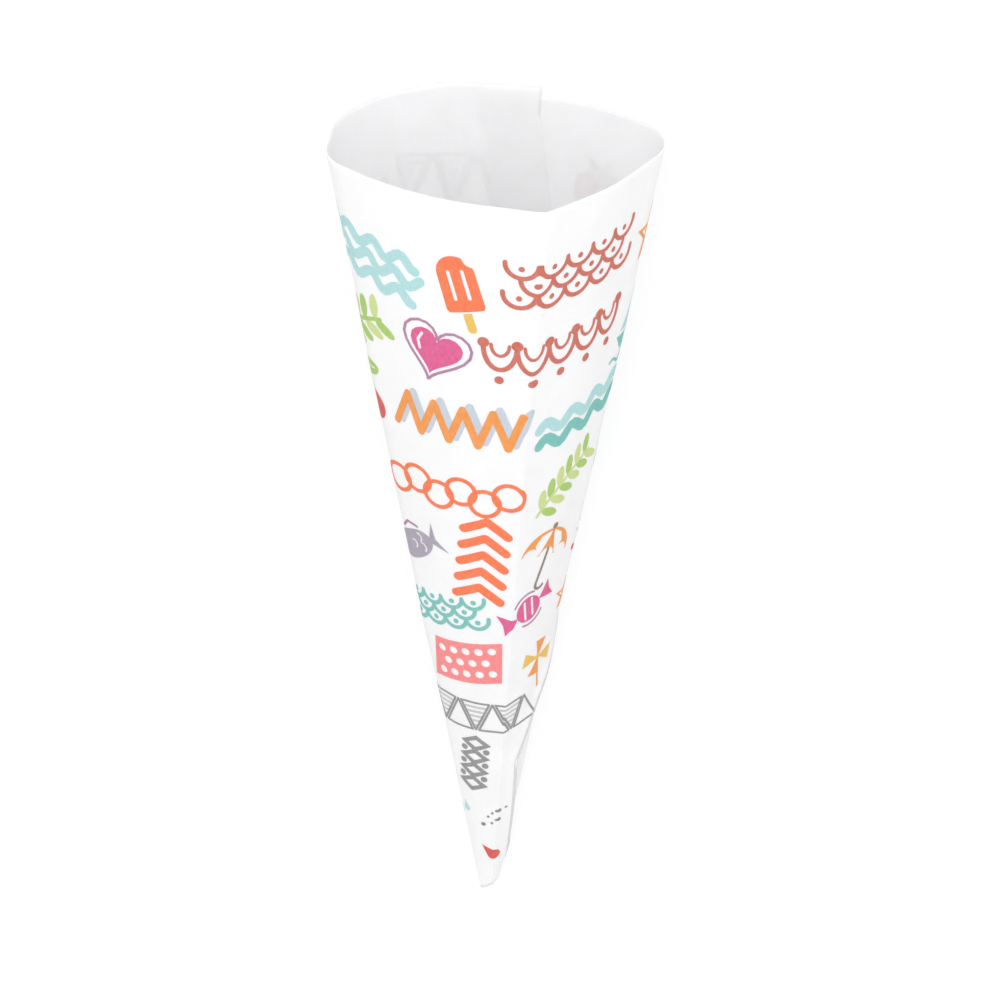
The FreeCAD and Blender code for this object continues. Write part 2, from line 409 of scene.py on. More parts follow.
def between(low_of, high_of, first, last):
    def slants(p, shares):
        low, high = one(low_of(p)), one(high_of(p))
        return low + (shares - first) / (last - first) * (high - low)
    return slants


everything = range(len(rows))
patch(first_cols, range(row_rim + 1), between(tip_slant, inner_edge, 0, rows[row_rim]), "sheet")
patch(middle_cols, everything, between(tip_slant, rim_slant, 0, 1), "sheet")
patch(upper_cols, range(row_high, len(rows)), between(upper_edge, rim_slant, rows[row_high], 1), "upper")
patch(lower_cols, range(row_low + 1), between(tip_slant, lower_edge, 0, rows[row_low]), "lower")

v_place, v_slant = np.array(v_place), np.array(v_slant)
count = len(v_place)
outer_points = metres(outer_face(v_place, v_slant))
inner_points = metres(inner_face(v_place, v_slant))


def borders(polygons):
    """Directed edges that only one polygon has."""
    edges = dict.fromkeys(edge for p in polygons for edge in zip(p, p[1:] + p[:1]))
    return [(a, b) for a, b in edges if (b, a) not in edges]


rim_edges = borders(quads)

# As seen from outside, places run to the right and slants run up, so a quad goes round anticlockwise
faces = [tuple(q) for q in quads]
faces += [tuple(count + i for i in reversed(q)) for q in quads]
faces += [(b, a, count + a, count + b) for a, b in rim_edges]


def mesh_object(name, points, polygons, smooth_faces=None):
    mesh = bpy.data.meshes.new(name)
    mesh.from_pydata([tuple(p) for p in points], [], polygons)
    mesh.update()
    obj = bpy.data.objects.new(name, mesh)
    bpy.context.scene.collection.objects.link(obj)
    if smooth_faces is not None:
        mesh.polygons.foreach_set("use_smooth", smooth_faces)
    return obj


sheet_smooth = [True] * (2 * len(quads)) + [False] * len(rim_edges)
cup = mesh_object("rolled_paper", np.vstack([outer_points, inner_points]), faces, sheet_smooth)


def srgb(r, g, b):
    def linear(c):
        c /= 255
        return c / 12.92 if c <= 0.04045 else ((c + 0.055) / 1.055) ** 2.4
    return (linear(r), linear(g), linear(b), 1)


def cleared(tree):
    for node in list(tree.nodes):
        tree.nodes.remove(node)
    return tree.nodes, tree.links


def new_material(name):
    material = bpy.data.materials.new(name)
    material.use_nodes = True
    return material, *cleared(material.node_tree)


def add(nodes, kind, **values):
    """A new node with its inputs set. An underscore stands for a space in an input's name."""
    node = nodes.new("ShaderNode" + kind)
    for name, value in values.items():
        node.inputs[name.replace("_", " ")].default_value = value
    return node


def mixed(nodes, links, first, second, share, output):
    """Joins two shaders into the surface, by a number or by what a socket says."""
    mixer = add(nodes, "MixShader")
    if isinstance(share, float):
        mixer.inputs["Fac"].default_value = share
    else:
        links.new(share, mixer.inputs["Fac"])
    links.new(first, mixer.inputs[1])
    links.new(second, mixer.inputs[2])
    links.new(mixer.outputs["Shader"], output.inputs["Surface"])


def paper_material(name, colour, rough, bump):
    material, nodes, links = new_material(name)
    output = add(nodes, "OutputMaterial")
    shader = add(nodes, "BsdfPrincipled", Roughness=rough, IOR=1.45, Specular_IOR_Level=0.25)
    position = add(nodes, "TexCoord")
    clouds = add(nodes, "TexNoise", Scale=190, Detail=6, Roughness=0.62)
    links.new(position.outputs["Object"], clouds.inputs["Vector"])
    fibres = add(nodes, "TexNoise", Scale=2600, Detail=4, Distortion=0.8)
    stretch = add(nodes, "Mapping", Scale=(1.0, 0.35, 1.0))
    links.new(position.outputs["Object"], stretch.inputs["Vector"])
    links.new(stretch.outputs["Vector"], fibres.inputs["Vector"])
    ramp = add(nodes, "ValToRGB")
    ends = ramp.color_ramp.elements
    ends[0].position = 0.30
    ends[1].position = 0.72
    ends[0].color = tuple(0.965 * c for c in colour[:3]) + (1,)
    ends[1].color = colour
    links.new(clouds.outputs["Fac"], ramp.inputs["Fac"])
    links.new(ramp.outputs["Color"], shader.inputs["Base Color"])
    relief = add(nodes, "Bump", Strength=bump, Distance=0.00006)
    links.new(fibres.outputs["Fac"], relief.inputs["Height"])
    links.new(relief.outputs["Normal"], shader.inputs["Normal"])
    return material, nodes, links, shader, output


SHEER = 0.22        # share of the light that passes through the sheet

paper, nodes, links, shader, output = paper_material("white_paper", srgb(249, 249, 250), 0.62, 0.5)
glow = add(nodes, "BsdfTranslucent", Color=srgb(250, 250, 250))
mixed(nodes, links, shader.outputs["BSDF"], glow.outputs["BSDF"], SHEER, output)
cup.data.materials.append(paper)
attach(cup, "root")
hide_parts("paper_cone")

INKS = {
    "terracotta": (208, 98, 74), "orange": (252, 112, 44), "teal": (110, 196, 186), "aqua": (176, 224, 226),
    "lime": (168, 208, 92), "pale_lime": (206, 224, 138), "magenta": (226, 72, 140),
    "mauve": (176, 120, 160),
    "amber": (248, 152, 48), "blue_grey": (200, 210, 222), "taupe": (138, 122, 112),
    "lilac": (168, 160, 176),
    "salmon": (252, 132, 132), "yellow": (240, 194, 72), "red": (222, 66, 56), "pale_grey": (200, 200, 202),
    # the last entry is not an ink but the grey of a painted shadow line along the flap's free edge
    "grey": (140, 140, 142), "cut_edge": (220, 220, 222),
}


# Printed motifs, drawn in millimetres round their own middle

def circle(cx, cy, r, n=None):
    n = n or max(10, round(TAU * r / 0.55))
    return [(cx + r * math.cos(TAU * i / n), cy + r * math.sin(TAU * i / n)) for i in range(n)]


def arc(cx, cy, rx, ry, a, b, n=None):
    n = n or max(4, round(abs(math.radians(b - a)) * max(rx, ry) / 0.6))
    return [(cx + rx * math.cos(math.radians(a + (b - a) * i / n)),
             cy + ry * math.sin(math.radians(a + (b - a) * i / n))) for i in range(n + 1)]


def stroke(points, width, closed=False, caps=True):
    """Quads along a line of that width, with round ends, as a list of polygons."""
    pts = [np.array(p, float) for p in points]
    if closed:
        pts = pts + [pts[0]]
    half = width / 2
    count = len(pts)
    sides = []
    for i in range(count):
        before = pts[i] - pts[i - 1] if i > 0 else (pts[0] - pts[-2] if closed else pts[1] - pts[0])
        after = pts[i + 1] - pts[i] if i < count - 1 else (pts[1] - pts[0] if closed else pts[-1] - pts[-2])
        before, after = before / (np.linalg.norm(before) + 1e-9), after / (np.linalg.norm(after) + 1e-9)
        mean = before + after
        size = np.linalg.norm(mean)
        if size < 0.9:      # a sharp corner is bevelled by its neighbours' caps
            mean, size = after, 1.0
        mean = mean / size
        normal = np.array([-mean[1], mean[0]])
        reach = half / max(0.55, float(mean @ after))
        sides.append((pts[i] + normal * reach, pts[i] - normal * reach))
    shapes = [[a[0], b[0], b[1], a[1]] for a, b in zip(sides, sides[1:])]
    if caps and not closed:
        shapes += [circle(*pts[0], half, 10), circle(*pts[-1], half, 10)]
    return [[tuple(q) for q in shape] for shape in shapes]


def sharp(points, width):
    """A line with sharp corners: a straight bar for each run, with round joints."""
    shapes = []
    for a, b in zip(points, points[1:]):
        shapes += stroke([a, b], width)
    return shapes


def wavy(length, height, wavelength, y=0.0, step=0.7):
    n = max(6, round(length / step))
    return [(-length / 2 + length * i / n, y + height * math.sin(TAU * (length * i / n) / wavelength))
            for i in range(n + 1)]


def popsicle(body, stick):
    shape = arc(0, 2.4, 3.5, 3.5, 0, 180) + [(-3.5, -4.6), (-3.1, -5.2), (3.1, -5.2), (3.5, -4.6)]
    return [
        (body, 1, [("+", [shape]),
                   ("-", stroke([(-1.3, 2.8), (-1.3, -2.6)], 0.7)),
                   ("-", stroke([(1.3, 2.8), (1.3, -2.6)], 0.7)),
                   ("-", [circle(3.8, 5.2, 1.9)])]),
        (stick, 0, [("+", [[(-0.8, -5.6), (0.8, -5.6), (0.8, -9.0), (0.4, -9.6), (-0.4, -9.6),
                            (-0.8, -9.0)]])]),
    ]


def cherries(fruit, green):
    return [
        (fruit, 1, [("+", [circle(-2.8, -2.9, 2.7)]), ("+", [circle(3.0, -2.0, 2.6)]),
                    ("-", stroke(arc(-2.8, -2.9, 1.7, 1.7, 110, 190), 0.55)),
                    ("-", stroke(arc(3.0, -2.0, 1.6, 1.6, 110, 190), 0.55))]),
        (green, 0, [("+", stroke([(-2.6, -0.3), (-1.9, 2.0), (-0.4, 4.0), (1.2, 5.4)], 0.6)),
                    ("+", stroke([(3.0, 0.5), (2.6, 2.6), (1.2, 5.4)], 0.6)),
                    ("+", [arc(4.0, 5.0, 3.0, 1.5, 0, 360)]),
                    ("-", stroke([(1.8, 5.1), (6.0, 5.0)], 0.35))]),
    ]


def star(ink, points=5, outer=5.2, inner=2.3, hole=0.55):
    def ring(k):
        radii = [k * (inner if i % 2 else outer) for i in range(2 * points)]
        return [(r * math.sin(math.pi * i / points), r * math.cos(math.pi * i / points))
                for i, r in enumerate(radii)]
    return [(ink, 1, [("+", [ring(1)]), ("-", [ring(hole + 0.16)]), ("+", [ring(hole - 0.12)])])]


def shell(ink):
    scallops = []
    for i in range(7):
        a = math.radians(28 + 124 * i / 6)
        scallops.append(circle(7.4 * math.cos(a), -4.2 + 7.4 * math.sin(a), 1.55))
    fan = [(0, -4.6)] + arc(0, -4.2, 7.6, 7.6, 24, 156)
    ribs = []
    for i in range(6):
        a = math.radians(38 + 104 * i / 5)
        ribs += stroke([(1.6 * math.cos(a), -4.2 + 1.6 * math.sin(a)),
                        (6.9 * math.cos(a), -4.2 + 6.9 * math.sin(a))], 0.5)
    return [(ink, 1, [("+", [fan]), ("+", scallops), ("-", ribs),
                      ("+", [[(-2.3, -5.4), (2.3, -5.4), (1.4, -3.7), (-1.4, -3.7)]])])]


def parasol(ink, pole):
    dome = arc(0, 0, 6.6, 5.8, 0, 180)
    bites = [circle(-6.6 + 4.4 * (i + 0.5), -0.25, 2.05) for i in range(3)]
    gores = [[(0, 5.6), (-2.2, 0), (-4.0, 2.4), (-3.0, 4.4)], [(0, 5.6), (2.2, 0), (4.0, 2.4), (3.0, 4.4)]]
    return [
        (ink, 1, [("+", [dome]), ("-", gores), ("-", bites)]),
        (pole, 0, [("+", stroke([(0, 5.4), (0, -6.4)], 0.6)),
                   ("+", stroke(arc(1.0, -6.4, 1.0, 1.0, 180, 350), 0.6)),
                   ("+", [circle(0, 6.3, 0.7)])]),
    ]


def waves(ink, length=24, lines=3, width=1.0, other=None):
    found = []
    for i in range(lines):
        row = i - (lines - 1) / 2
        line = wavy(length - 2 * abs(row), 1.05, 5.6, row * 3.2, 0.6)
        found.append((other if other and i % 2 else ink, 1, [("+", stroke(line, width))]))
    return found


def zigzag(ink, shade, length=26, height=3.4, pitch=2.9, width=1.25):
    n = round(length / pitch)
    pts = [(-length / 2 + length * i / n, height if i % 2 else -height) for i in range(n + 1)]
    under = [(x + 1.3, y + 0.9) for x, y in pts]
    found = [(ink, 2, [("+", sharp(pts, width))])]
    if shade:
        found.append((shade, 0, [("+", sharp(under, width))]))
    return found


def scales(ink, columns=5, lines=3, radius=2.9, width=0.85):
    """Rows of hanging scallops, each row shifted by half a scallop."""
    shapes = []
    for j in range(lines):
        y = radius * 0.5 + (j - (lines - 1) / 2) * radius * 1.05
        count = columns - j % 2
        for i in range(count):
            x = (i - (count - 1) / 2) * 2 * radius
            shapes += stroke(arc(x, y, radius, radius, 180, 360), width)
            shapes.append(circle(x, y - radius * 0.34, 0.55))
    return [(ink, 1, [("+", shapes)])]


def festoon(ink, count=5, pitch=5.6, top=3.4, width=0.85):
    """Double swags with beads under them."""
    shapes = []
    for i in range(count):
        x = (i - (count - 1) / 2) * pitch
        shapes += stroke(arc(x, top, pitch / 2, 4.8, 180, 360), width)
        shapes += stroke(arc(x, top + 0.2, pitch * 0.27, 2.2, 180, 360), width * 0.7)
        shapes.append(circle(x, top - 6.9, 0.8))
    for i in range(count + 1):
        shapes.append(circle((i - count / 2) * pitch, top + 0.4, 1.0))
    return [(ink, 1, [("+", shapes)])]


def chevrons(ink, count=6, pitch=4.3, height=7.4, width=1.9):
    shapes = []
    for i in range(count):
        x = (i - (count - 1) / 2) * pitch
        shapes += sharp([(x - 1.5, -height / 2), (x + 1.2, 0), (x - 1.5, height / 2)], width)
    return [(ink, 1, [("+", shapes)])]


def ring_chain(ink, count=6, pitch=4.3, radius=2.7, width=0.8):
    shapes = []
    for i in range(count):
        x = (i - (count - 1) / 2) * pitch
        shapes += stroke(circle(x, 0.9 if i % 2 else -0.9, radius), width, closed=True)
    return [(ink, 1, [("+", shapes)])]


def sprig(ink, pale):
    stem = [(-7 + 14 * i / 12, 1.6 * math.sin(i / 12 * 2.6) - 1.0) for i in range(13)]
    leaves, hollow = [], []
    for k, i in enumerate(range(1, 12, 2)):
        x, y = stem[i]
        for side in (1, -1):
            a = math.radians(58 * side)
            cx, cy = x + 2.1 * math.cos(a), y + 2.1 * math.sin(a)
            leaf = [(cx + 1.9 * math.cos(t) * math.cos(a) - 0.8 * math.sin(t) * math.sin(a),
                     cy + 1.9 * math.cos(t) * math.sin(a) + 0.8 * math.sin(t) * math.cos(a))
                    for t in [TAU * j / 14 for j in range(14)]]
            (leaves if (k + (side > 0)) % 2 else hollow).append(leaf)
    return [(ink, 1, [("+", stroke(stem, 0.6)), ("+", leaves)]), (pale, 0, [("+", hollow)])]


def melon(flesh, rind):
    seeds = [circle(x, y, 0.42, 8) for x, y in ((-3.2, -0.6), (-1.1, -1.6), (1.1, -1.6), (3.2, -0.6),
                                                (0, -3.4), (-2.0, -3.2), (2.0, -3.2))]
    return [
        (flesh, 1, [("+", [arc(0, 1.4, 5.2, 5.6, 180, 360)]), ("-", seeds)]),
        (rind, 0, [("+", stroke(arc(0, 1.4, 6.5, 6.9, 184, 356), 1.0))]),
    ]


def strawberry(fruit, green):
    body = [(0, -6.0), (-2.2, -4.4), (-4.2, -1.6), (-4.9, 0.9), (-4.1, 2.6), (-2.1, 3.3), (0, 2.9),
            (2.1, 3.3), (4.1, 2.6), (4.9, 0.9), (4.2, -1.6), (2.2, -4.4)]
    seeds = []
    for x, y in ((-2.8, 0.9), (0, 1.0), (2.8, 0.9), (-1.5, -1.2), (1.5, -1.2), (0, -3.2), (-2.9, -1.9),
                 (2.9, -1.9)):
        seeds.append(arc(x, y, 0.3, 0.55, 0, 360, 8))
    crown = [(0, 4.0), (-0.8, 5.9), (0.8, 5.9), (0.1, 4.2), (4.0, 4.9), (2.6, 2.9), (0.9, 3.4), (0, 1.9),
             (-0.9, 3.4), (-2.6, 2.9), (-4.0, 4.9)]
    return [(fruit, 1, [("+", [body]), ("-", seeds), ("-", [crown])]),
            (green, 2, [("+", [[(x, y + 0.5) for x, y in crown]])])]


def dotted_tile(ink, length=16, height=10.5):
    lean = 1.1
    tile = [(-length / 2 - lean, -height / 2), (length / 2 - lean, -height / 2 - 0.6),
            (length / 2 + lean, height / 2), (-length / 2 + lean, height / 2 + 0.6)]
    cuts = []
    for j in range(3):
        for i in range(5 - j % 2):
            x = (i - (4 - j % 2) / 2) * length / 5.4
            cuts.append(circle(x + (j - 1) * 0.5, (j - 1) * height / 3.3, 0.85))
    return [(ink, 1, [("+", [tile]), ("-", cuts)])]


def ball(one_ink, other_ink, radius=6.2):
    """A beach ball in slices that meet off its middle."""
    slices = {one_ink: [], other_ink: []}
    for i in range(8):
        a, b = 360 * i / 8, 360 * (i + 1) / 8
        piece = [(1.4, 1.8)] + arc(0, 0, radius, radius, a + 2, b - 2)
        slices[(one_ink, other_ink)[i % 2]].append(piece)
    ring = stroke(circle(0, 0, radius + 0.7), 0.4, closed=True)
    return [(one_ink, 1, [("+", slices[one_ink]), ("-", [circle(1.4, 1.8, 1.5)]), ("+", ring)]),
            (other_ink, 0, [("+", slices[other_ink]), ("-", [circle(1.4, 1.8, 1.5)])])]


def peaks(line, fill, count=7, pitch=4.0, height=8.8):
    """Triangles that point up and down in turns, every other one hatched."""
    outline, hatch = [], []
    for i in range(count):
        x = (i - (count - 1) / 2) * pitch
        way = 1 if i % 2 else -1
        tip, base = (x, way * height / 2), -way * height / 2
        outline += sharp([(x - pitch * 0.82, base), tip, (x + pitch * 0.82, base),
                          (x - pitch * 0.82, base)], 0.42)
        if i % 2 == 0:
            for k in range(1, 6):
                level = base + (tip[1] - base) * k / 6
                half = pitch * 0.82 * (1 - k / 6) * 0.8
                hatch += stroke([(x - half, level), (x + half, level)], 0.5)
    return [(line, 1, [("+", outline)]), (fill, 0, [("+", hatch)])]


def lozenges(ink, count=6, pitch=4.6, height=8.0):
    shapes, cuts = [], []
    for i in range(count):
        x = (i - (count - 1) / 2) * pitch
        shapes.append([(x, height / 2), (x - 2.0, 0), (x, -height / 2), (x + 2.0, 0)])
        cuts.append([(x, height / 4), (x - 0.9, 0), (x, -height / 4), (x + 0.9, 0)])
        if i < count - 1:
            shapes += [circle(x + pitch / 2, side * height * 0.36, 0.65) for side in (1, -1)]
    return [(ink, 1, [("+", shapes), ("-", cuts)])]


def heart_line(k, n=30):
    found = []
    for i in range(n):
        t = TAU * i / n
        rise = 13 * math.cos(t) - 5 * math.cos(2 * t) - 2 * math.cos(3 * t) - math.cos(4 * t) + 2
        found.append((k * 16 * math.sin(t) ** 3, k * rise))
    return found


def hearts(ink, thin):
    return [(ink, 1, [("+", [heart_line(0.27)]),
                      ("-", stroke([(-2.6, 2.6), (-3.0, 1.2), (-2.4, -0.2)], 0.5))]),
            (thin, 0, [("+", stroke(heart_line(0.35), 0.45, closed=True))])]


def blossom(ink, thin, petals=6):
    shapes, lines = [], []
    for i in range(petals):
        a = TAU * i / petals
        shapes.append(circle(3.2 * math.cos(a), 3.2 * math.sin(a), 1.75))
        lines += stroke(arc(3.4 * math.cos(a), 3.4 * math.sin(a), 2.35, 2.35, math.degrees(a) - 72,
                            math.degrees(a) + 72), 0.4)
    return [(ink, 1, [("+", shapes), ("+", [circle(0, 0, 2.4)]), ("-", [circle(0, 0, 1.35)])]),
            (thin, 0, [("+", lines)])]


def fish(ink, pale):
    body = arc(-0.8, 0, 5.4, 2.9, 12, 348) + [(6.6, -3.2), (5.6, 0), (6.6, 3.2)]
    arcs = []
    for x, y in ((-0.6, 0), (1.4, 1.0), (1.4, -1.0)):
        arcs += stroke(arc(x, y, 0.9, 0.9, -70, 70), 0.4)
    return [(ink, 1, [("+", [body]), ("-", [circle(-4.0, 0.7, 0.55, 10)]), ("-", arcs)]),
            (pale, 0, [("+", stroke([(-1.2, 3.6), (0.8, 4.4), (2.6, 3.0)], 0.5))])]


def sweet(ink, pale):
    wings = [[(3.0, 0), (6.6, 2.6), (6.1, 0), (6.6, -2.6)],
             [(-3.0, 0), (-6.6, 2.6), (-6.1, 0), (-6.6, -2.6)]]
    return [(ink, 1, [("+", [circle(0, 0, 3.1)]), ("+", wings),
                      ("-", stroke([(-1.5, -2.0), (-0.3, 2.3)], 0.6)),
                      ("-", stroke([(0.4, -2.3), (1.6, 2.0)], 0.6))]),
            (pale, 0, [("+", stroke(arc(0, 0, 4.1, 4.1, 50, 130), 0.45)),
                       ("+", stroke(arc(0, 0, 4.1, 4.1, 230, 310), 0.45))])]


def pinwheel(ink, pale):
    blades, others = [], []
    for i in range(4):
        a = TAU * i / 4
        c, s = math.cos(a), math.sin(a)
        blade = [(0, 0), (0, 5.0), (3.6, 3.6)]
        (blades if i % 2 else others).append([(x * c - y * s, x * s + y * c) for x, y in blade])
    return [(ink, 1, [("+", blades), ("+", [circle(0, 0, 0.8)])]),
            (pale, 0, [("+", others), ("+", stroke([(0, -1), (-0.6, -9.0)], 0.5))])]


def bunting(line, a, b, length=27):
    string = [(-length / 2 + length * i / 16, 3.0 - 2.2 * math.sin(math.pi * i / 16)) for i in range(17)]
    found = [(line, 1, [("+", stroke(string, 0.4))])]
    flags = {a: [], b: []}
    for i in range(5):
        x, y = string[2 + 3 * i]
        flags[(a, b)[i % 2]].append([(x - 1.9, y), (x, y - 4.6), (x + 1.9, y)])
    return found + [(ink, 0, [("+", shapes)]) for ink, shapes in flags.items()]


def boat(hull, sail):
    return [(hull, 1, [("+", [[(-5.6, -2.0), (5.6, -2.0), (3.8, -4.8), (-3.8, -4.8)]]),
                       ("+", stroke(wavy(13, 0.5, 3.4, -6.4), 0.5))]),
            (sail, 0, [("+", [[(-0.4, -1.2), (-0.4, 6.0), (-4.8, -1.2)]]),
                       ("+", [[(0.6, -1.2), (0.6, 4.6), (4.0, -1.2)]])])]


def drops(ink, count=4):
    shapes = []
    for i in range(count):
        x = (i - (count - 1) / 2) * 3.4
        y = 0.9 * (-1) ** i
        shapes.append([(x, y + 2.4)] + arc(x, y - 0.6, 1.1, 1.2, 40, -220))
    return [(ink, 1, [("+", shapes)])]


def pineapple(fruit, green):
    cuts = []
    for k in (-3.4, -1.1, 1.2, 3.5):
        cuts += stroke([(-4, k - 2.6), (4, k + 0.9)], 0.4, caps=False)
        cuts += stroke([(-4, k + 0.9), (4, k - 2.6)], 0.4, caps=False)
    leaves = [[(-0.8, 3.4), (0, 8.6), (0.8, 3.4)], [(-1.9, 3.4), (-3.2, 7.2), (-0.3, 3.8)],
              [(1.9, 3.4), (3.2, 7.2), (0.3, 3.8)]]
    return [(fruit, 1, [("+", [arc(0, -1.2, 3.5, 4.7, 0, 360)]), ("-", cuts)]), (green, 0, [("+", leaves)])]


def dots(ink, pale):
    """A loose scatter of small dots."""
    big = [circle(x, y, 0.62, 10) for x, y in ((-3.4, 0.9), (0.4, -1.0), (3.2, 0.7))]
    small = [circle(x, y, 0.42, 8) for x, y in ((-1.5, -0.6), (1.6, 1.3), (-0.2, 1.5), (4.6, -0.9))]
    return [(ink, 1, [("+", big)]), (pale, 0, [("+", small)])]


# Rows of the print from the mouth down: slant distance, then (motif, width it takes, turn in degrees, scale)
PRINT = [
    (150.5, -0.08, [
        (peaks("grey", "pale_grey", 7), 29, 5, 1.05), (melon("red", "lime"), 14, -12, 1.05),
        (waves("aqua", 23, 3, 1.7), 24, -12, 1.15),
        (popsicle("orange", "yellow"), 12, 16, 1.05), (scales("terracotta", 5), 29, 5, 1.05),
        (star("amber"), 13, 0, 1.15),
        (strawberry("red", "lime"), 13, 10, 1.1)]),
    (134.5, 0.00, [
        (bunting("taupe", "amber", "teal"), 28, 5, 1.0), (sprig("lime", "pale_lime"), 20, 24, 1.35),
        (hearts("magenta", "mauve"), 15, -16, 1.2),
        (festoon("terracotta", 5), 30, 4, 1.1), (boat("teal", "aqua"), 14, 8, 1.15),
        (shell("salmon"), 16, -12, 1.0)]),
    (118.5, 0.00, [
        (lozenges("teal", 6), 26, 3, 1.0), (cherries("red", "lime"), 14, 8, 1.15),
        (zigzag("amber", "blue_grey", 25, 3.8, 2.9, 1.5), 26, -5, 1.0),
        (waves("teal", 22, 2, 1.9, "aqua"), 24, 8, 1.15), (blossom("magenta", "mauve"), 15, 10, 1.2)]),
    (103.0, 0.00, [
        (peaks("grey", "pale_grey", 6), 24, 5, 1.0), (pineapple("yellow", "lime"), 10, 16, 1.05),
        (ring_chain("orange", 6), 26, -4, 1.05),
        (sprig("pale_lime", "lime"), 17, 34, 1.15), (ball("teal", "aqua"), 14, 0, 0.95)]),
    (88.5, -0.04, [
        (festoon("lime", 4, 5.0), 20, 6, 0.95), (drops("aqua", 4), 12, 6, 1.0),
        (fish("lilac", "mauve"), 15, 24, 1.05),
        (chevrons("orange", 5, 3.9, 8.4, 1.8), 10, 86, 1.0), (parasol("amber", "taupe"), 13, -16, 1.0),
        (dots("red", "salmon"), 8, 70, 1.1)]),
    (75.0, 0.00, [
        (strawberry("red", "pale_lime"), 12, -12, 0.95),
        (waves("orange", 14, 2, 1.3, "blue_grey"), 16, 6, 1.0),
        (scales("teal", 4, 3, 2.2, 0.8), 18, 5, 1.0), (sweet("magenta", "mauve"), 13, 24, 0.95),
        (star("amber"), 8, 5, 0.7)]),
    (62.0, 0.00, [
        (peaks("grey", "pale_grey", 4, 3.0, 6.0), 14, 8, 1.0),
        (waves("pale_lime", 12, 2, 1.1, "lime"), 13, -10, 1.0),
        (dotted_tile("salmon", 14, 8.8), 15, 8, 1.0), (pinwheel("yellow", "amber"), 11, 15, 0.85)]),
    (50.0, 0.00, [
        (cherries("magenta", "pale_lime"), 10, -8, 0.8), (sweet("amber", "yellow"), 10, 30, 0.75),
        (peaks("grey", "pale_grey", 6, 3.4, 6.6), 20, 4, 1.0)]),
    (37.5, -0.07, [
        (dots("grey", "taupe"), 3, 84, 0.7), (hearts("red", "salmon"), 9, -16, 0.62),
        (drops("lilac", 3), 8, 5, 0.8),
        (lozenges("grey", 4, 3.4, 6.0), 8, 82, 1.0)]),
    (26.0, -0.01, [
        (dots("grey", "taupe"), 3, 80, 0.7), (star("lilac"), 6, 5, 0.45), (drops("aqua", 3), 7, 5, 0.6),
        (dots("taupe", "grey"), 6, 60, 0.7)]),
    (15.5, 0.00, [
        (dots("grey", "taupe"), 3, 76, 0.45), (drops("red", 1), 3, 50, 1.0)]),
]

every_column = first_cols + middle_cols + upper_cols + lower_cols
mesh_angles = np.array(sorted({round(float(flat_of(p)), 9) for p in every_column}))
rim_line_places = np.linspace(inner_rim, last_place, 1600)
rim_flat = flat_points(rim_slant(rim_line_places), flat_of(rim_line_places))
EDGE_MARGIN = 0.12      # the ink stops this far short of a cut edge
MOTIF_REACH = 16        # no motif reaches further than this from its middle, up or down the wall


def free_angle(slants):
    """Flat angle of the flap's free edge at slant distances."""
    upper = np.hypot(*upper_line.T), np.arctan2(upper_line[:, 1], upper_line[:, 0])
    lower = np.hypot(*lower_line.T), np.arctan2(lower_line[:, 1], lower_line[:, 0])
    order_u, order_l = np.argsort(upper[0]), np.argsort(lower[0])
    high = np.interp(slants, upper[0][order_u], upper[1][order_u])
    low = np.interp(slants, lower[0][order_l], lower[1][order_l])
    return np.where(slants > HEEL_SLANT, high, low)


def inside(polygon, x, y):
    """Even-odd test of many points."""
    px, py = np.array(polygon, float).T
    qx, qy = np.roll(px, -1), np.roll(py, -1)
    crossing = (py[None] > y[:, None]) != (qy[None] > y[:, None])
    rise = np.where(abs(qy - py) < 1e-12, 1e-12, qy - py)
    at = (qx - px)[None] * (y[:, None] - py[None]) / rise[None] + px[None]
    return ((crossing & (x[:, None] < at)).sum(1) % 2) == 1


def twice_area(flat, triangles):
    """Twice each triangle's area, below zero where it goes round clockwise."""
    a, b, c = (flat[triangles[:, i]] for i in range(3))
    return (b[:, 0] - a[:, 0]) * (c[:, 1] - a[:, 1]) - (b[:, 1] - a[:, 1]) * (c[:, 0] - a[:, 0])


ink_parts = {}


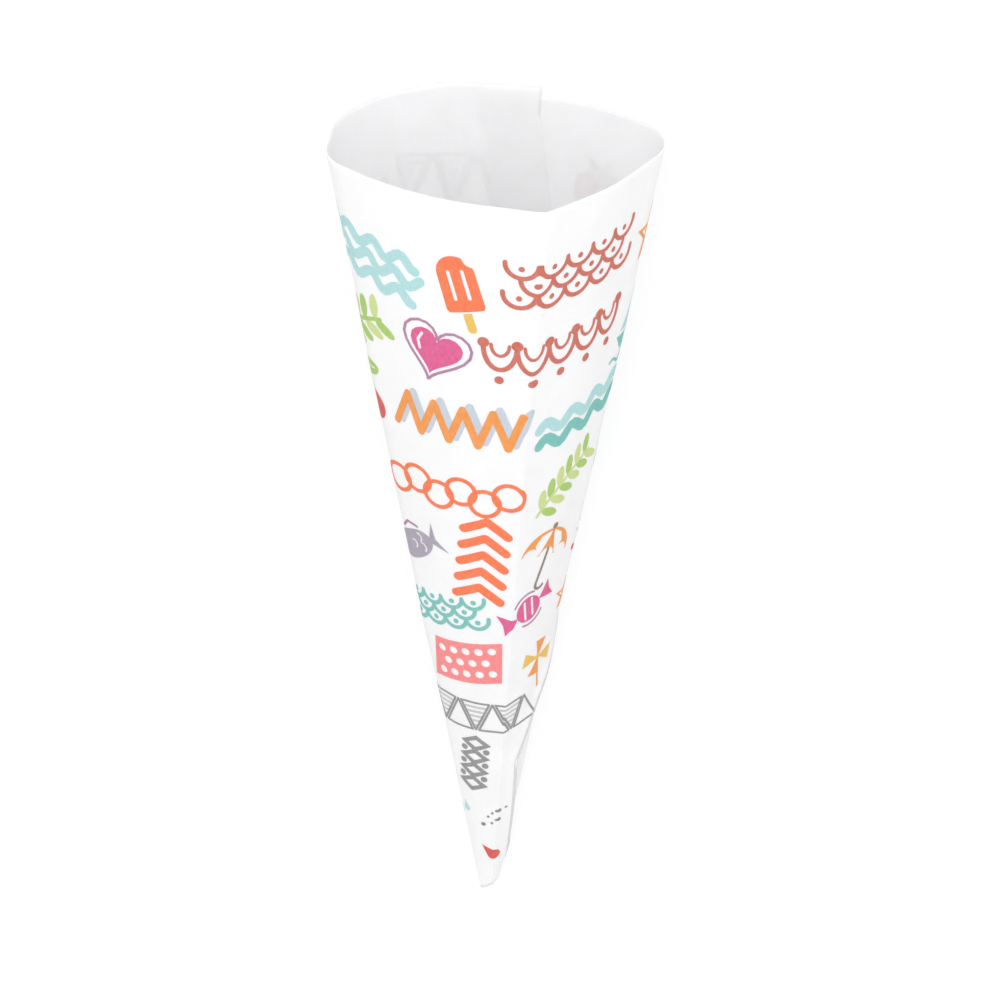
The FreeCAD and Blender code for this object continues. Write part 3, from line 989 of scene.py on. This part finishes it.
def print_motif(layers, slant, angle, turn, scale):
    """Cuts a motif to the sheet's mesh columns and cut edges, and keeps its triangles for its ink, to be
    laid on the printed face as thin closed solids further down.
    """
    ray = np.array([math.cos(angle), math.sin(angle)])
    side = np.array([-math.sin(angle), math.cos(angle)])
    c, s = math.cos(math.radians(turn)) * scale, math.sin(math.radians(turn)) * scale
    for ink, level, ops in layers:
        placed, points, edges = [], [], []
        for sign, polygons in ops:
            for polygon in polygons:
                local = np.array(polygon, float)
                x = local[:, 0] * c - local[:, 1] * s
                y = local[:, 0] * s + local[:, 1] * c
                flat = slant * ray + x[:, None] * side + y[:, None] * ray
                placed.append((sign, flat))
                start = len(points)
                points += [tuple(q) for q in flat]
                edges += [(start + i, start + (i + 1) % len(flat)) for i in range(len(flat))]
        cloud = np.array(points)
        reach, around = np.hypot(*cloud.T), np.arctan2(cloud[:, 1], cloud[:, 0])
        low, high = reach.min() - 0.5, reach.max() + 0.5
        for a in mesh_angles[(mesh_angles > around.min() - 1e-4) & (mesh_angles < around.max() + 1e-4)]:
            start = len(points)
            points += [(low * math.cos(a), low * math.sin(a)), (high * math.cos(a), high * math.sin(a))]
            edges.append((start, start + 1))
        for line in (flap_line[::6], rim_flat[::4]):
            near = abs(np.hypot(*line.T) - slant) < MOTIF_REACH
            near &= abs(np.arctan2(line[:, 1], line[:, 0]) - angle) < 20 / slant
            index = np.nonzero(near)[0]
            for a, b in zip(index, index[1:]):
                if b == a + 1:
                    start = len(points)
                    points += [tuple(line[a]), tuple(line[b])]
                    edges.append((start, start + 1))
        result = delaunay_2d_cdt([Vector(p) for p in points], edges, [], 0, 1e-4)
        flat = np.array([(v.x, v.y) for v in result[0]])
        triangles = np.array([t for t in result[2] if len(t) == 3])
        middle = flat[triangles].mean(1)
        keep = np.zeros(len(triangles), bool)
        for sign, polygon in placed:
            hit = inside(polygon, middle[:, 0], middle[:, 1])
            keep = keep | hit if sign == "+" else keep & ~hit
        m_slant, m_angle = np.hypot(*middle.T), np.arctan2(middle[:, 1], middle[:, 0])
        places = place_of(m_angle)
        edge = free_angle(m_slant)
        keep &= m_slant < rim_slant(places) - EDGE_MARGIN
        keep &= m_slant > tip_slant(places) + EDGE_MARGIN
        keep &= (m_angle < edge - EDGE_MARGIN / m_slant) & (m_angle > edge - FULL - 1.2 / m_slant)
        keep &= m_angle > flat_of(inner_rim)
        keep &= abs(twice_area(flat, triangles)) > 1e-7
        if keep.any():
            ink_parts.setdefault(ink, []).append((flat, triangles[keep], level))


random.seed(7)
for slant, shift, row in PRINT:
    edge = float(free_angle(np.array([slant]))[0])
    room = FULL * slant
    taken = sum(width for _, width, _, _ in row)
    gap = (room - taken) / len(row)
    at = shift * slant
    for layers, width, turn, scale in row:
        at += gap / 2 + width / 2
        around = (at + random.uniform(-0.15, 0.15) * gap) / slant
        if around > FULL:
            around -= FULL
        placed_slant = slant + random.uniform(-1.2, 1.2)
        for whole in (0, FULL):
            centre = edge - FULL + around - whole
            if centre > edge - FULL - 8 / slant:
                print_motif(layers, placed_slant, centre, turn + random.uniform(-3, 3), scale)
        at += width / 2 + gap / 2


# painted shadow: a narrow grey strip along the flap's cut edge, standing in for the shadow line beside it
cut_side = np.vstack([flap_line[:-1:3], flap_line[-1:]])
way = np.gradient(cut_side, axis=0)
way /= np.linalg.norm(way, axis=1, keepdims=True) + 1e-9
inward = np.column_stack([way[:, 1], -way[:, 0]])
SHADOW_FROM, SHADOW_TO = 0.10, 0.65
painted_shadow_strip = np.vstack([cut_side + SHADOW_FROM * inward, (cut_side + SHADOW_TO * inward)[::-1]])
print_motif([("cut_edge", 3, [("+", [[(y, x - HEEL_SLANT) for x, y in painted_shadow_strip]])])], HEEL_SLANT, 0.0, 0, 1.0)


def ink_material(name, colour):
    material, nodes, links, shader, output = paper_material(name, srgb(*colour), 0.55, 0.5)
    fibres = [n for n in nodes if n.type == "TEX_NOISE" and n.inputs["Scale"].default_value > 1000][0]
    ramp = [n for n in nodes if n.type == "VALTORGB"][0]
    ramp.color_ramp.elements[0].color = tuple(min(1, 0.93 * c) for c in srgb(*colour)[:3]) + (1,)
    lighter = tuple(c + 0.10 * (1 - c) for c in srgb(*colour)[:3]) + (1,)
    ramp.color_ramp.elements[1].color = lighter
    links.new(fibres.outputs["Fac"], ramp.inputs["Fac"])
    through = add(nodes, "BsdfTranslucent", Color=srgb(246, 244, 242))
    mixed(nodes, links, shader.outputs["BSDF"], through.outputs["BSDF"], SHEER, output)
    return material


# How far the ink stands proud of the paper, how far each layer of it stands over the last, and
# how deep it sinks in
INK_PROUD, INK_STEP, INK_DEEP = 0.045, 0.010, 0.03
for ink, parts in sorted(ink_parts.items()):
    points, polygons = [], []
    for flat, triangles, level in parts:
        used_ids, back = np.unique(triangles, return_inverse=True)
        back = back.reshape(triangles.shape)
        flat_used = flat[used_ids]
        slants, places = np.hypot(*flat_used.T), place_of(np.arctan2(flat_used[:, 1], flat_used[:, 0]))
        top = metres(outer_face(places, slants, INK_PROUD + INK_STEP * level))
        bottom = metres(outer_face(places, slants, -INK_DEEP))
        back = np.where(twice_area(flat_used, back)[:, None] < 0, back[:, ::-1], back)
        start, size = len(points), len(top)
        points += list(top) + list(bottom)
        for t in back.tolist():
            polygons.append(tuple(start + i for i in t))
            polygons.append(tuple(start + size + i for i in reversed(t)))
        for p, q in borders(back.tolist()):
            polygons.append((start + q, start + p, start + size + p, start + size + q))
    obj = mesh_object("print_" + ink, points, polygons)
    obj.data.materials.append(ink_material("ink_" + ink, INKS[ink]))
    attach(obj, "root")

# Floor, light and camera
WHITE_SHARE = 0.86      # share of plain white in what the camera sees of the floor
AMBIENT = 1.06          # strength of the light from all round

floor = mesh_object("floor", [(-4, -4, 0), (4, -4, 0), (4, 4, 0), (-4, 4, 0)], [(0, 1, 2, 3)])
floor.location.z = -0.0001
material, nodes, links = new_material("floor_white")
output = add(nodes, "OutputMaterial")
matt = add(nodes, "BsdfDiffuse", Color=srgb(244, 244, 244))
white = add(nodes, "Emission", Color=(1, 1, 1, 1), Strength=1.0)
path = add(nodes, "LightPath")
seen = path.outputs["Is Camera Ray"]
for ray in ("Is Glossy Ray", "Is Transmission Ray"):
    either = add(nodes, "Math")
    either.operation = "MAXIMUM"
    links.new(seen, either.inputs[0])
    links.new(path.outputs[ray], either.inputs[1])
    seen = either.outputs["Value"]
share = add(nodes, "Math")
share.operation = "MULTIPLY"
share.inputs[1].default_value = WHITE_SHARE
links.new(seen, share.inputs[0])
mixed(nodes, links, matt.outputs["BSDF"], white.outputs["Emission"], share.outputs["Value"], output)
floor.data.materials.append(material)

world = bpy.data.worlds.new("studio")
bpy.context.scene.world = world
world.use_nodes = True
nodes, links = cleared(world.node_tree)
output = add(nodes, "OutputWorld")
ambient = add(nodes, "Background", Color=(1, 1, 1, 1), Strength=AMBIENT)
backdrop = add(nodes, "Background", Color=(1, 1, 1, 1), Strength=1.0)
path = add(nodes, "LightPath")
mixed(nodes, links, ambient.outputs["Background"], backdrop.outputs["Background"],
      path.outputs["Is Camera Ray"], output)

# The camera, in the photograph's fitted frame: 800 mm from the rim, 30 degrees above the mouth
DISTANCE = 800.0
PICTURE_PX, SENSOR = 1000, 36
RIM_WIDTH, RIM_WIDTH_PX = 60, 338
RIM_X_PX, RIM_Y_PX = 495.5, 146.5
FOCAL_PX = DISTANCE * RIM_WIDTH_PX / RIM_WIDTH
LENS_TILT = math.radians(30)
ROLL = math.radians(-0.6167)
RIM_SHIFT = 1.1
rim_middle = DISTANCE * np.array([
    (RIM_X_PX - PICTURE_PX / 2) / FOCAL_PX, (PICTURE_PX / 2 - RIM_Y_PX) / FOCAL_PX, -1.0])
turn = np.array([[math.cos(ROLL), -math.sin(ROLL), 0], [math.sin(ROLL), math.cos(ROLL), 0], [0, 0, 1]])
cone_axes = turn @ np.column_stack([
    (1, 0, 0), (0, math.sin(LENS_TILT), -math.cos(LENS_TILT)),
    (0, math.cos(LENS_TILT), math.sin(LENS_TILT))])
camera_in_cone = cone_axes.T @ -rim_middle + np.array([0, 0, APEX_HEIGHT - RIM_SHIFT])
camera_place = metres(LYING @ camera_in_cone)
camera_axes = LYING @ cone_axes.T

camera_data = bpy.data.cameras.new("camera")
camera_data.sensor_width = SENSOR
camera_data.lens = FOCAL_PX * SENSOR / PICTURE_PX
camera_data.clip_start, camera_data.clip_end = 0.05, 20
camera = bpy.data.objects.new("camera", camera_data)
bpy.context.scene.collection.objects.link(camera)
pose = Matrix([[*camera_axes[i], camera_place[i]] for i in range(3)] + [[0, 0, 0, 1]])
camera.matrix_world = pose
bpy.context.scene.camera = camera


def area_lamp(name, place, target, size, power):
    data = bpy.data.lights.new(name, "AREA")
    data.shape = "DISK"
    data.size = size
    data.energy = power
    lamp = bpy.data.objects.new(name, data)
    lamp.location = place
    lamp.rotation_mode = "QUATERNION"
    lamp.rotation_quaternion = (Vector(target) - Vector(place)).to_track_quat("-Z", "Y")
    bpy.context.scene.collection.objects.link(lamp)


area_lamp("key", (0.10, 0.62, 0.80), (0, 0.03, 0.02), 0.5, 3.4)

bpy.context.scene.view_settings.view_transform = "Standard"
